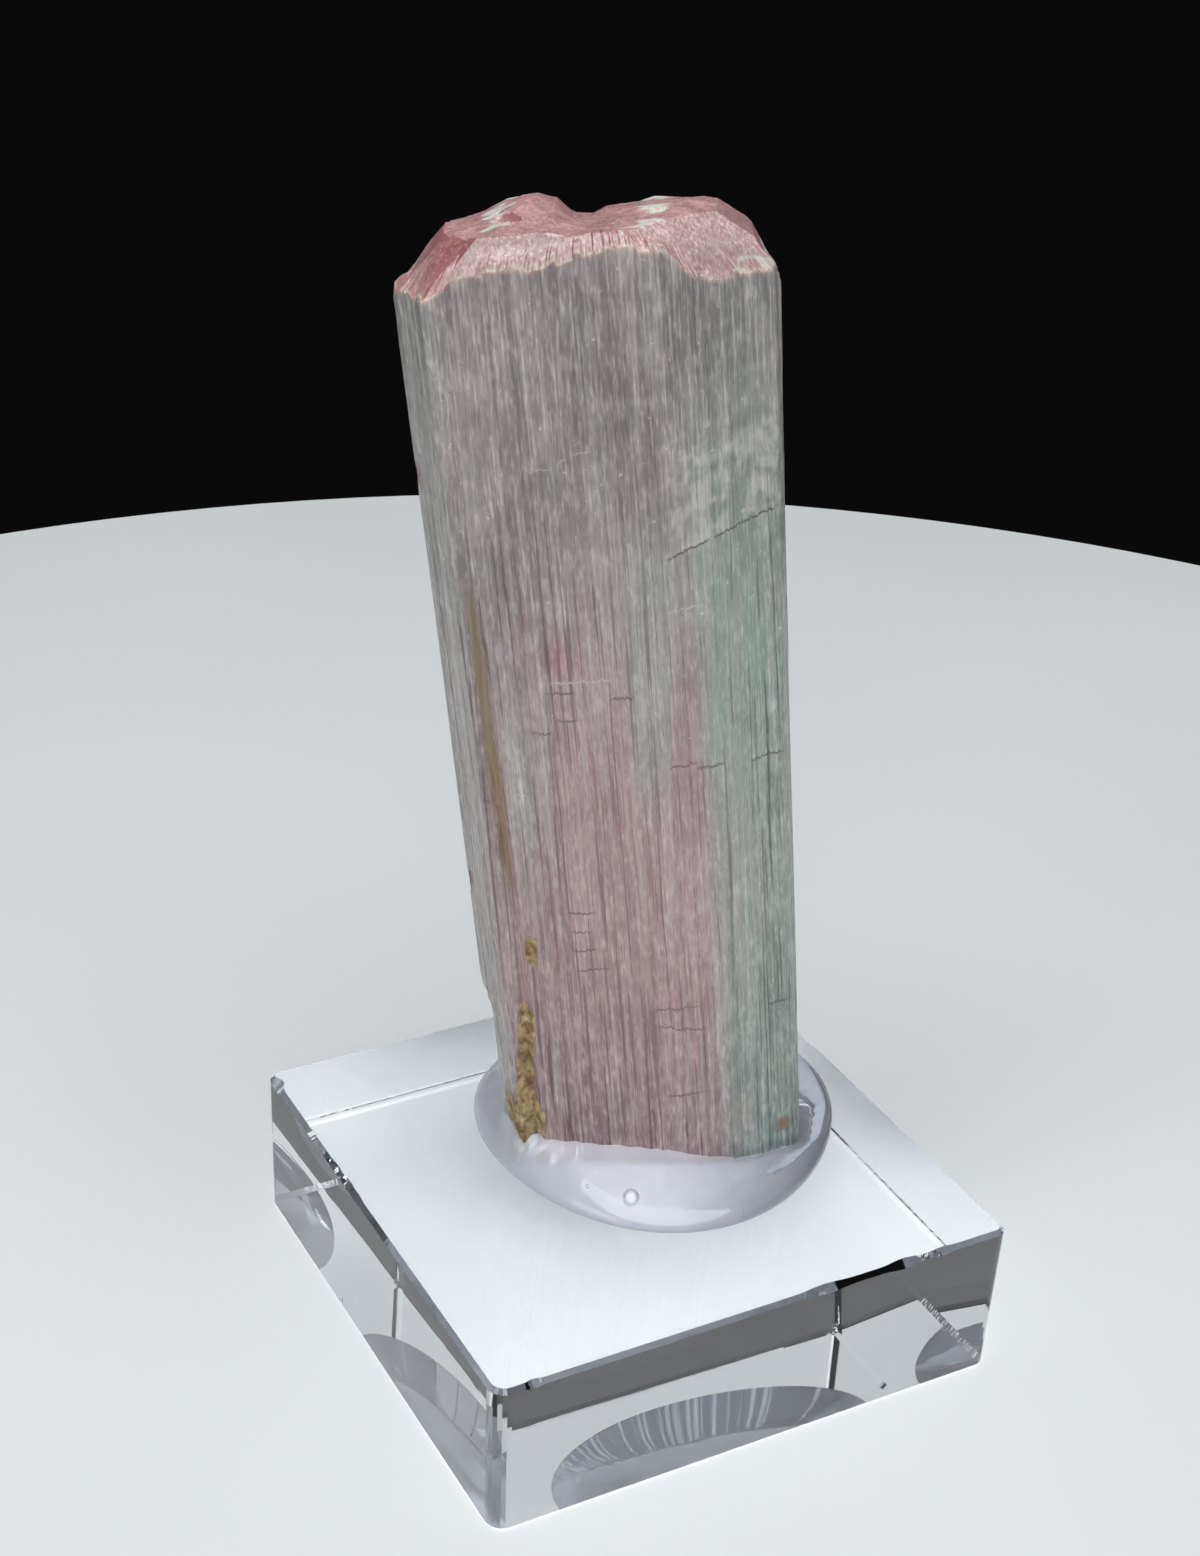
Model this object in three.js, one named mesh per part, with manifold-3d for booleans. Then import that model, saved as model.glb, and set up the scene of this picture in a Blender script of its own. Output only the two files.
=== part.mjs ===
// A watermelon tourmaline crystal held by a puddle of hot-melt glue on a square acrylic block.
// Millimetres, +Z up. The origin is the centre of the block's underside and -Y is its front side.

import * as THREE from "three";
import { mergeVertices } from "three/addons/utils/BufferGeometryUtils.js";
import Module from "manifold-3d";

const wasm = await Module();
wasm.setup();

// The block, with one corner more worn than the others and its right side cut in slightly below
const BLOCK_SIDE = 31.75;
const BLOCK_HEIGHT = 9.5;
const BLOCK_BEVEL = 0.4;
const WORN_CORNER_RADIUS = 0.6;
const SHARP_CORNER_RADIUS = 0.3;
const BLOCK_UNDERCUT = 0.5;

// Where the crystal's foot stands, how it is turned about +Z, and how far it leans, in degrees
const FOOT_X = 3.12;
const FOOT_Y = 1.83;
const FOOT_CLEARANCE = 0.6;
const CRYSTAL_TURN = -28.55;
const LEAN_LEFT = 5.8;
const LEAN_FORWARD = 2;

// The crystal's prism, along its own leaning axis, which widens a little from foot to end
const PRISM_START = -2;
const PRISM_END = 58;
const SCALE_AT_FOOT = 0.957;
const SCALE_AT_END = 1.035;
const WIDENING_LENGTH = 51;

// The lengthwise ridges and the two deeper seams on the crystal's front
const COLUMNS = 144;
const ROWS = 16;
const RIDGE_HEIGHT = 0.1;
const RIDGE_DRIFT = 0.05;
const CLAY_GROOVE_AT = -7.1;
const CLAY_GROOVE_DEPTH = 0.75;
const CLAY_GROOVE_TOP = 40;
const FACE_SEAM_AT = 3.75;
const FACE_SEAM_DEPTH = 0.4;
const SEAM_WIDTH = 0.45;

// The crystal's uneven end, and the slab on its left edge that is broken off above the foot
const END_HEIGHT = 54.65;
const END_FALL = 0.145;
const SLAB_BREAK_LOW = 10.3;
const SLAB_BREAK_HIGH = 11.9;
const SLAB_INNER = -8.62;
const SLAB_OUTER = -9.15;

// The glue
const GLUE_RADIUS = 10.6;
const GLUE_HEIGHT = 2.9;
const GLUE_LOBES = 0.038;
const GLUE_GAP = 0.3;

// The edge of a cutter that is larger than everything it cuts
const AMPLE = 60;

const degrees = THREE.MathUtils.degToRad;

// A closed geometry as a solid, its seam vertices joined
function solidOf(geometry) {
  const bare = geometry.clone();
  bare.deleteAttribute("normal");
  bare.deleteAttribute("uv");
  const joined = mergeVertices(bare, 1e-5);
  return new wasm.Manifold(new wasm.Mesh({
    numProp: 3,
    vertProperties: new Float32Array(joined.attributes.position.array),
    triVerts: new Uint32Array(joined.index.array),
  }));
}

function geometryOf(solid) {
  const made = solid.getMesh();
  const geometry = new THREE.BufferGeometry();
  geometry.setAttribute("position", new THREE.BufferAttribute(made.vertProperties, 3));
  geometry.setIndex(new THREE.BufferAttribute(made.triVerts, 1));
  geometry.computeVertexNormals();
  return geometry;
}

// What is left of a solid after every cutter has gone through it
function cutBy(solid, cutters) {
  return cutters.reduce((left, cutter) => left.subtract(cutter), solid);
}

// Moves every vertex of a geometry by a function that changes the vertex it is given
function reshape(geometry, change) {
  const positions = geometry.attributes.position;
  const vertex = new THREE.Vector3();
  for (let i = 0; i < positions.count; i += 1) {
    vertex.fromBufferAttribute(positions, i);
    change(vertex);
    positions.setXYZ(i, vertex.x, vertex.y, vertex.z);
  }
  return geometry;
}

// A bump of height 1 and the given width, at zero
function bump(distance, width) {
  return Math.exp(-((distance / width) ** 2));
}

// A repeatable number from -1 to 1 for each whole number
function scatter(index) {
  const folded = Math.sin(index * 127.1 + 11.7) * 43758.5453;
  return 2 * (folded - Math.floor(folded)) - 1;
}

// A faceted chip to be broken out of an edge: its half sizes, its tilt and its turn about +Z
function chip(place, size, tilt, turn) {
  const lump = new THREE.OctahedronGeometry(1, 1);
  lump.scale(...size);
  lump.rotateX(degrees(tilt));
  lump.rotateZ(degrees(turn));
  lump.translate(...place);
  return solidOf(lump);
}

function partMesh(name, geometry, color, roughness) {
  const material = new THREE.MeshStandardMaterial({ color, roughness, metalness: 0 });
  const mesh = new THREE.Mesh(geometry, material);
  mesh.name = name;
  return mesh;
}

// The block: a square with softened corners, bevelled top and bottom, with chips in its top edges
function blockGeometry() {
  const half = BLOCK_SIDE / 2 - BLOCK_BEVEL;
  const sharp = half - SHARP_CORNER_RADIUS;
  const worn = half - WORN_CORNER_RADIUS;
  const square = new THREE.Shape();
  square.absarc(sharp, sharp, SHARP_CORNER_RADIUS, 0, Math.PI / 2);
  square.absarc(-sharp, sharp, SHARP_CORNER_RADIUS, Math.PI / 2, Math.PI);
  square.absarc(-worn, -worn, WORN_CORNER_RADIUS, Math.PI, Math.PI * 1.5);
  square.absarc(sharp, -sharp, SHARP_CORNER_RADIUS, Math.PI * 1.5, Math.PI * 2);
  const block = new THREE.ExtrudeGeometry(square, {
    depth: BLOCK_HEIGHT - 2 * BLOCK_BEVEL,
    curveSegments: 4,
    bevelThickness: BLOCK_BEVEL,
    bevelSize: BLOCK_BEVEL,
    bevelSegments: 1,
  });
  block.translate(0, 0, BLOCK_BEVEL);
  reshape(block, (p) => {
    const depth = Math.max(0, 1 - p.z / (BLOCK_HEIGHT - BLOCK_BEVEL));
    if (p.x > 0) p.x -= BLOCK_UNDERCUT * depth;
  });
  const side = BLOCK_SIDE / 2;
  return geometryOf(cutBy(solidOf(block), [
    chip([5.4, -side, BLOCK_HEIGHT], [0.8, 0.55, 0.5], 25, 10),
    chip([7.6, -side, BLOCK_HEIGHT], [1.2, 0.5, 0.55], 70, -8),
    chip([14.2, -side, BLOCK_HEIGHT], [0.9, 0.6, 0.6], 40, 15),
    chip([-side, 11.8, BLOCK_HEIGHT], [0.5, 0.9, 0.5], 30, 12),
    chip([-side, 7.3, BLOCK_HEIGHT], [0.55, 1.3, 0.6], 55, -6),
    chip([-side, 3.1, BLOCK_HEIGHT], [0.5, 0.8, 0.5], 10, 20),
  ]));
}

// The crystal's section, seen from its end: a broad front, a turned right face and a narrow left one
function sectionPoints() {
  const section = new THREE.Shape();
  section.moveTo(-7.7, -5.5);
  section.lineTo(-1.2, -5.95);
  section.lineTo(3.7, -5.5);
  section.lineTo(8.55, -2.4);
  section.lineTo(8.8, 0.4);
  section.lineTo(5.2, 5.2);
  section.lineTo(-3.6, 6.2);
  section.lineTo(-8.3, 2.2);
  section.lineTo(-9.3, -2.2);
  section.closePath();
  return section.getSpacedPoints(COLUMNS).slice(0, COLUMNS);
}

const outline = sectionPoints();

function outwardAt(column) {
  const before = outline[(column + COLUMNS - 1) % COLUMNS];
  const after = outline[(column + 1) % COLUMNS];
  return new THREE.Vector2(after.y - before.y, before.x - after.x).normalize();
}

// How far the ridged surface stands out from the plain section, at a column and a height
function relief(column, height) {
  const point = outline[column];
  let out = RIDGE_HEIGHT * scatter(column);
  out += RIDGE_DRIFT * scatter(column + COLUMNS) * Math.sin(height / 9 + column);
  if (point.y < 0) {
    const grooveFade = THREE.MathUtils.smoothstep(CLAY_GROOVE_TOP - height, 0, CLAY_GROOVE_TOP / 2);
    out -= CLAY_GROOVE_DEPTH * grooveFade * bump(point.x - CLAY_GROOVE_AT, SEAM_WIDTH);
    out -= FACE_SEAM_DEPTH * bump(point.x - FACE_SEAM_AT, SEAM_WIDTH);
  }
  return out;
}

// The prism along the crystal's axis, its walls moved outward by what standOut gives
function prism(standOut) {
  const length = PRISM_END - PRISM_START;
  const columns = new THREE.CylinderGeometry(1, 1, length, COLUMNS, ROWS);
  columns.rotateX(Math.PI / 2);
  columns.translate(0, 0, PRISM_START + length / 2);
  return reshape(columns, (p) => {
    const onAxis = Math.hypot(p.x, p.y) < 0.5;
    if (onAxis) return;
    const turn = Math.atan2(p.y, p.x) / (2 * Math.PI);
    const column = (Math.round(turn * COLUMNS) + COLUMNS) % COLUMNS;
    const widening = (SCALE_AT_END - SCALE_AT_FOOT) / WIDENING_LENGTH;
    const scale = SCALE_AT_FOOT + widening * p.z;
    const out = standOut(column, p.z);
    const outward = outwardAt(column);
    p.x = outline[column].x * scale + outward.x * out;
    p.y = outline[column].y * scale + outward.y * out;
  });
}

// The top of the end: two humps with a notch between them, low lumps and a fall to the back
function endHeight(x, y) {
  let height = END_HEIGHT - END_FALL * y - 0.05 * Math.max(0, y - 1) ** 2;
  height += 1.15 * bump(x + 2.8, 2.2) * bump(y - 0.5, 4);
  height += 0.5 * bump(x - 3.9, 2.4) * bump(y - 0.5, 4);
  height -= 0.8 * bump(x + 0.5, 0.7) * bump(y - 1.2, 3.2);
  height += 0.1 * Math.sin(2.1 * x + 0.7 * y) * Math.sin(1.7 * y - 0.4 * x);
  return height;
}

function underTheEnd() {
  const block = new THREE.BoxGeometry(24, 18, AMPLE, 30, 22, 1);
  return reshape(block, (p) => {
    p.z = p.z > 0 ? endHeight(p.x, p.y) : PRISM_START - 1;
  });
}

// Everything above a facet plane through the point, which faces the heading and has the slope, in degrees
function aboveFacet(x, y, z, heading, slope) {
  const box = new THREE.BoxGeometry(AMPLE, AMPLE, AMPLE / 2);
  box.translate(0, 0, AMPLE / 4);
  box.rotateY(degrees(slope));
  box.rotateZ(degrees(heading));
  box.translate(x, y, z);
  return solidOf(box);
}

const crystalPlace = new THREE.Group();
crystalPlace.position.set(FOOT_X, FOOT_Y, BLOCK_HEIGHT);
crystalPlace.rotation.set(degrees(LEAN_FORWARD), degrees(-LEAN_LEFT), degrees(CRYSTAL_TURN), "ZYX");
crystalPlace.updateMatrix();

// A slab whose top is level, at a height above the block
function slabUpTo(height) {
  const slab = new THREE.BoxGeometry(AMPLE, AMPLE, AMPLE / 3);
  slab.translate(FOOT_X, FOOT_Y, BLOCK_HEIGHT + height - AMPLE / 6);
  return slab;
}

// The corner that is missing under the broken end of the slab on the left edge
function underBrokenSlab() {
  const beyond = -12;
  const below = PRISM_START - 1;
  const corner = new THREE.Shape();
  corner.moveTo(beyond, below);
  corner.lineTo(SLAB_INNER, below);
  corner.lineTo(SLAB_INNER, SLAB_BREAK_LOW);
  corner.lineTo(SLAB_OUTER, SLAB_BREAK_HIGH);
  corner.lineTo(beyond, SLAB_BREAK_HIGH);
  const cutter = new THREE.ExtrudeGeometry(corner, { depth: 20, bevelEnabled: false });
  cutter.rotateX(Math.PI / 2);
  cutter.translate(0, 10, 0);
  return solidOf(cutter);
}

// The crystal in its own leaning frame: the ridged prism with its level foot, end facets and chips
function crystalGeometry() {
  const belowFoot = slabUpTo(FOOT_CLEARANCE);
  belowFoot.applyMatrix4(crystalPlace.matrix.clone().invert());
  const endFacets = [
    aboveFacet(-6.6, -5.7, 53.85, -95.6, 60),
    aboveFacet(-7.0, -4.9, 54.0, -150, 42),
    aboveFacet(-8.6, -2.8, 53.2, 176, 47),
    aboveFacet(5.9, -4.4, 52.9, -50, 50),
    aboveFacet(6.6, 0, 54.5, 8, 38),
    aboveFacet(8.2, 0, 52.9, 4, 63),
    aboveFacet(6.3, 4.2, 52.8, 48, 45),
    aboveFacet(-1.0, 6.2, 52.6, 95, 40),
    aboveFacet(-7.6, 2.6, 52.6, 140, 48),
  ];
  const edgeChips = [
    chip([-9.7, -2.6, 42.9], [0.7, 0.7, 0.55], 20, 40),
    chip([-9.6, -2.8, 41.6], [0.5, 0.5, 0.4], 50, 100),
    chip([-9.4, -2.6, 27.6], [0.55, 0.55, 0.9], 30, 60),
    chip([-9.3, -2.4, 18.0], [0.5, 0.5, 0.7], 65, 130),
    chip([8.95, -2.0, 46.6], [0.5, 0.5, 1.1], 35, 70),
  ];
  const endChips = [
    chip([-0.5, 1.6, 54.9], [0.6, 0.9, 0.8], 15, 10),
    chip([-4.4, -2.0, 55.7], [1.9, 0.7, 0.55], 20, -37),
    chip([3.5, -1.2, 55.6], [2.9, 0.75, 0.6], 15, 55),
  ];
  const ridged = solidOf(prism(relief)).intersect(solidOf(underTheEnd()));
  return geometryOf(cutBy(ridged, [
    solidOf(belowFoot),
    underBrokenSlab(),
    ...endFacets,
    ...edgeChips,
    ...endChips,
  ]));
}

// The glue: a puddle with a rounded rim that rises a little to the crystal and holds its foot in a pocket
function glueGeometry() {
  const rim = new THREE.Path();
  rim.moveTo(0, 0);
  rim.lineTo(0.95, 0);
  rim.bezierCurveTo(1.02, 0.12, 1.02, 0.5, 0.92, 0.66);
  rim.bezierCurveTo(0.84, 0.78, 0.7, 0.88, 0, 1);
  const puddle = new THREE.LatheGeometry(rim.getPoints(6), 72);
  puddle.rotateX(Math.PI / 2);
  reshape(puddle, (p) => {
    const radius = GLUE_RADIUS * (1 + GLUE_LOBES * Math.cos(3 * Math.atan2(p.y, p.x) - 0.6));
    p.x = FOOT_X + p.x * radius;
    p.y = FOOT_Y + p.y * radius;
    p.z = BLOCK_HEIGHT + p.z * GLUE_HEIGHT;
  });
  const pocket = prism(() => RIDGE_HEIGHT + RIDGE_DRIFT + GLUE_GAP);
  pocket.applyMatrix4(crystalPlace.matrix);
  const pocketFloor = slabUpTo(FOOT_CLEARANCE - GLUE_GAP);
  return geometryOf(solidOf(puddle).subtract(solidOf(pocket).subtract(solidOf(pocketFloor))));
}

const specimen = new THREE.Group();
specimen.name = "specimen";
specimen.add(partMesh("acrylic_base", blockGeometry(), 0xdfe3e8, 0.08));
specimen.add(partMesh("glue_blob", glueGeometry(), 0xc9ced8, 0.18));
crystalPlace.add(partMesh("tourmaline_crystal", crystalGeometry(), 0xb98f98, 0.25));
specimen.add(crystalPlace);

export default specimen;
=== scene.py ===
# %% [markdown]
# # A watermelon tourmaline crystal on an acrylic block
# The real specimen is a pink and green crystal about 55 mm tall. Its foot is set in a puddle of hot-melt
# glue, and the glue sits on a small square block of clear acrylic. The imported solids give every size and
# place. This lesson makes the surfaces the eye sees: fine ridges on the crystal, glossy glue, a worn clear
# block, and the light that passes through all three.

# %% Load the fixed frame
import math
from functools import reduce

import bpy
import numpy as np
from mathutils import Euler, Matrix, Vector
from mathutils.bvhtree import BVHTree


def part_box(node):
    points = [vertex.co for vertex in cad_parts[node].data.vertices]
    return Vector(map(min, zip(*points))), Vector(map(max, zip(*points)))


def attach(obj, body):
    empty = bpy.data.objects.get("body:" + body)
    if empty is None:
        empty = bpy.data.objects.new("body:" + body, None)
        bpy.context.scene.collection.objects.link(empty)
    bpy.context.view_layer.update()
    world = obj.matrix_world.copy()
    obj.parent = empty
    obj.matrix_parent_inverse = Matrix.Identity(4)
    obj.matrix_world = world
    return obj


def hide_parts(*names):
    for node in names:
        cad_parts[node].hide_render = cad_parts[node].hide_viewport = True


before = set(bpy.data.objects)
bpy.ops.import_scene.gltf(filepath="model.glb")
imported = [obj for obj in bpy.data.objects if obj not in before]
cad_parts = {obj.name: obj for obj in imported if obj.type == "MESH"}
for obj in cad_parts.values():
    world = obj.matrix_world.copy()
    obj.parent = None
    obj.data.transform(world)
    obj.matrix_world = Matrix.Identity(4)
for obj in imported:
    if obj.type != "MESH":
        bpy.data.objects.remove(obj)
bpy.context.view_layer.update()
MM = 0.001
_, block_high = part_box("acrylic_base")
BLOCK_TOP = block_high.z
print("solids:", sorted(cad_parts), "block top at", round(BLOCK_TOP / MM, 2), "mm")

# %% [markdown]
# ## The camera
# The picture was taken from a little above, close to the block's near corner, with the camera turned by
# two degrees. Blender's camera looks along its own -Z axis, so three turns place it: about +Z for where it
# stands, about X for how far it looks down, and about its own axis for the tilt of the picture.

# %% Set up the camera
CAMERA_PLACE = Vector((-60.35, -106.41, 98.29)) * MM
CAMERA_AZIMUTH = math.radians(-28.55)
CAMERA_ELEVATION = math.radians(27.85)
CAMERA_TILT = math.radians(2.03)
CAMERA_LENS = 59.78

turn_about_z = Matrix.Rotation(CAMERA_AZIMUTH, 4, "Z")
look_down = Matrix.Rotation(math.pi / 2 - CAMERA_ELEVATION, 4, "X")
tilt_picture = Matrix.Rotation(CAMERA_TILT, 4, "Z")
camera_data = bpy.data.cameras.new("camera")
camera_data.lens = CAMERA_LENS
camera_data.clip_start = MM
camera = bpy.data.objects.new("camera", camera_data)
camera.matrix_world = Matrix.Translation(CAMERA_PLACE) @ turn_about_z @ look_down @ tilt_picture
bpy.context.scene.collection.objects.link(camera)
bpy.context.scene.camera = camera
print("camera", [round(c / MM, 1) for c in CAMERA_PLACE], "mm, lens", CAMERA_LENS, "mm")

# %% [markdown]
# ## Nodes as plain arithmetic
# A material is a graph of nodes. Writing each node by hand hides the idea behind the wiring, so a small
# class wraps one socket of the graph. Adding or multiplying two wires adds a Math node, and one method,
# `node`, makes any other node: it takes the node's type, its settings, and what goes into its sockets.

# %% A wire in a material
class Wire:
    """One output socket of a material's node tree. Arithmetic on wires adds Math nodes."""

    def __init__(self, tree, socket=None):
        self.tree = tree
        self.socket = socket

    def node(self, kind, settings=None, sockets=None, out=0):
        made = self.tree.nodes.new(kind)
        for name, value in (settings or {}).items():
            setattr(made, name, value)
        for name, value in (sockets or {}).items():
            if isinstance(value, Wire):
                self.tree.links.new(value.socket, made.inputs[name])
            else:
                made.inputs[name].default_value = value
        return Wire(self.tree, made.outputs[out])

    def maths(self, operation, *values):
        return self.node("ShaderNodeMath", {"operation": operation}, dict(enumerate(values)))

    def __add__(self, other):
        return self.maths("ADD", self, other)

    def __sub__(self, other):
        return self.maths("SUBTRACT", self, other)

    def __rsub__(self, other):
        return self.maths("SUBTRACT", other, self)

    def __mul__(self, other):
        return self.maths("MULTIPLY", self, other)

    def __truediv__(self, other):
        return self.maths("DIVIDE", self, other)

    def __pow__(self, other):
        return self.maths("POWER", self, other)

    __radd__ = __add__
    __rmul__ = __mul__

    def most(self, other):
        return self.maths("MAXIMUM", self, other)

    def size(self):
        return self.maths("ABSOLUTE", self)

    def rise(self, low, high):
        """0 below low, 1 above high and a smooth step between. With low above high it falls."""
        settings = {"interpolation_type": "SMOOTHSTEP"}
        return self.node("ShaderNodeMapRange", settings, {"Value": self, 1: low, 2: high, 3: 0.0, 4: 1.0})

    def bump_at(self, centre, width):
        """1 where the wire equals centre, falling smoothly to 0 at width from it."""
        return (self - centre).size().rise(width, 0.0)

    def parts(self):
        split = self.node("ShaderNodeSeparateXYZ", {}, {"Vector": self})
        sockets = split.socket.node.outputs
        return [Wire(self.tree, socket) for socket in sockets]

    def stretched(self, x, y, z):
        """A vector with its three parts multiplied, to stretch a pattern."""
        settings = {"operation": "MULTIPLY"}
        return self.node("ShaderNodeVectorMath", settings, {0: self, 1: (x, y, z)})

    def toward(self, direction):
        """How far a vector points along the direction: their dot product."""
        settings = {"operation": "DOT_PRODUCT"}
        return self.node("ShaderNodeVectorMath", settings, {0: self, 1: direction}, "Value")

    def noise(self, scale, detail=3.0, roughness=0.5):
        sockets = {"Vector": self, "Scale": scale, "Detail": detail, "Roughness": roughness}
        return self.node("ShaderNodeTexNoise", {}, sockets)

    def between(self, first, second):
        """A colour that goes from first, where the wire is 0, to second, where it is 1."""
        return self.node("ShaderNodeMix", {"data_type": "RGBA"}, {0: self, 6: first, 7: second}, 2)


def colour(red, green, blue):
    """A colour given as it looks on screen, from 0 to 255, as the linear values that nodes use."""
    shares = np.array([red, green, blue]) / 255
    linear = np.where(shares <= 0.04045, shares / 12.92, ((shares + 0.055) / 1.055) ** 2.4)
    return (*linear.tolist(), 1.0)


def new_finish(name):
    """A material with only its output node, and a wire to start from."""
    material = bpy.data.materials.new(name)
    material.use_nodes = True
    material.node_tree.nodes.clear()
    return material, Wire(material.node_tree)


def show(wire, volume=None):
    """Ends a material: the wire goes to the surface, and volume to the inside."""
    sockets = {"Surface": wire}
    if volume is not None:
        sockets["Volume"] = volume
    output = wire.tree.nodes.new("ShaderNodeOutputMaterial")
    for name, source in sockets.items():
        wire.tree.links.new(source.socket, output.inputs[name])


print("node wires ready")

# %% [markdown]
# ## Floor and light
# The specimen stands on a plain pale round floor with nothing behind it. That matters here: crystal and
# acrylic show what is behind them, so the dark room above the floor's edge gives the grey in the crystal's
# upper half and the dark band along the block's top edge. One broad lamp hangs overhead. Light reaches the
# floor under the clear block twice in this renderer, straight and bent, so the floor is greyer just there.

# %% Make the floor and the lamps
FLOOR_RADIUS = 126 * MM
FLOOR_DROP = 0.03 * MM


def new_piece(name, points, faces, smooth=True):
    mesh = bpy.data.meshes.new(name)
    mesh.from_pydata(points, [], faces)
    mesh.validate()
    mesh.polygons.foreach_set("use_smooth", [smooth] * len(mesh.polygons))
    piece = bpy.data.objects.new(name, mesh)
    bpy.context.scene.collection.objects.link(piece)
    return piece


rim_angles = np.linspace(0, 2 * math.pi, 160, endpoint=False)
rim_points = [(FLOOR_RADIUS * math.cos(a), FLOOR_RADIUS * math.sin(a), -FLOOR_DROP) for a in rim_angles]
floor = new_piece("floor", rim_points, [list(range(len(rim_points)))], smooth=False)

floor_finish, start = new_finish("pale floor")
floor_place = start.node("ShaderNodeTexCoord", out="Object")
floor_cloud = floor_place.noise(25.0, 1.0)
floor_tone = floor_cloud.between(colour(222, 227, 229), colour(232, 236, 238))
floor_x, floor_y, _ = floor_place.parts()
under_block = floor_x.size().rise(0.0153, 0.0150) * floor_y.size().rise(0.0156, 0.0153)
floor_tone = under_block.between(floor_tone, colour(196, 200, 202))
show(start.node("ShaderNodeBsdfPrincipled", {}, {"Base Color": floor_tone, "Roughness": 0.55}))
floor.data.materials.append(floor_finish)


def add_lamp(name, place, aim, width, power):
    lamp_data = bpy.data.lights.new(name, "AREA")
    lamp_data.shape = "DISK"
    lamp_data.size = width
    lamp_data.energy = power
    lamp = bpy.data.objects.new(name, lamp_data)
    lamp.location = place
    lamp.rotation_euler = (Vector(aim) - Vector(place)).to_track_quat("-Z", "Y").to_euler()
    bpy.context.scene.collection.objects.link(lamp)
    return lamp


add_lamp("overhead lamp", (-0.06, -0.12, 0.46), (0, 0, 0.02), 0.5, 2.4)
add_lamp("left fill", (-0.45, -0.10, 0.30), (0, 0, 0.03), 0.25, 0.35)

room = bpy.data.worlds.new("room")
room.use_nodes = True
room.node_tree.nodes.clear()
start = Wire(room.node_tree)
_, _, height = start.node("ShaderNodeTexCoord", out="Generated").parts()
room_tone = height.rise(0.02, 0.5).between((0.003, 0.003, 0.0032, 1), (0.11, 0.11, 0.115, 1))
room_light = start.node("ShaderNodeBackground", {}, {"Color": room_tone})
room_end = room.node_tree.nodes.new("ShaderNodeOutputWorld")
room.node_tree.links.new(room_light.socket, room_end.inputs["Surface"])
bpy.context.scene.world = room
bpy.context.scene.view_settings.view_transform = "Standard"
print("floor radius", FLOOR_RADIUS / MM, "mm")

# %% [markdown]
# ## The crystal's own frame
# The crystal leans, so every height on it is easiest to give along its own axis. This frame has its origin
# at the foot, X to the right along the broad front face, Y to the back, and Z along the ridges. One matrix
# carries points from it, in millimetres, to the scene in metres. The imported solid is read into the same
# frame as a search tree that rays can be shot at.

# %% Read the solid into the crystal's frame
FOOT = Vector((3.12 * MM, 1.83 * MM, BLOCK_TOP))
LEAN = Euler((math.radians(2), math.radians(-5.8), math.radians(-28.55)), "XYZ")
to_scene = Matrix.LocRotScale(FOOT, LEAN, Vector((MM, MM, MM)))
from_scene = to_scene.inverted()


def search_tree(node, matrix):
    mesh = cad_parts[node].data
    corners = [matrix @ vertex.co for vertex in mesh.vertices]
    return BVHTree.FromPolygons(corners, [tuple(face.vertices) for face in mesh.polygons])


crystal_solid = search_tree("tourmaline_crystal", from_scene)
crystal_low, crystal_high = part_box("tourmaline_crystal")


def seen_from_outside(tree, centre, away):
    """Where a ray from far out, along away and back towards centre, meets the solid, and its normal."""
    place, normal, _, _ = tree.ray_cast(centre + away * 40, -away)
    return place, normal


print("crystal solid", [round(c / MM, 1) for c in crystal_high - crystal_low], "mm")

# %% [markdown]
# ## Sampling the crystal finely
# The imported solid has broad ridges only. The real faces carry ridges a third of a millimetre wide, so the
# visible crystal is a much finer skin: columns run up the prism, over the edge of the end and in to its
# middle, like the threads of a sock. Columns are spaced evenly along the section's outline. Up to the
# shoulder the rays come in level, and above it they come in towards one centre, so that the same columns
# cover the end too.

# %% Shoot rays at the solid
COLUMNS = 640
WALL_ROWS = 56
END_ROWS = 96
SHOULDER = 45.0
MID_HEIGHT = 25.0
STEEPEST = math.radians(89.3)
FOOT_DEEPER = 0.42


def level(angle):
    return Vector((math.cos(angle), math.sin(angle), 0))


def even_angles(count):
    """Angles about the axis, from the back, whose wall points are evenly spaced round the outline."""
    fine = np.linspace(0.5, 2.5, 1601) * math.pi
    centre = Vector((0, 0, MID_HEIGHT))
    outline = np.array([seen_from_outside(crystal_solid, centre, level(a))[0].xy for a in fine])
    steps = np.linalg.norm(np.diff(outline, axis=0), axis=1)
    along = np.concatenate([[0], np.cumsum(steps)])
    targets = np.linspace(0, along[-1], count, endpoint=False)
    return np.interp(targets, along, fine), targets, along[-1]


angles, outline_mm, girth = even_angles(COLUMNS)
foot_up = LEAN.to_matrix().transposed() @ Vector((0, 0, 1))
foot_level = foot_up.dot(from_scene @ Vector((FOOT.x, FOOT.y, crystal_low.z)))

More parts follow.
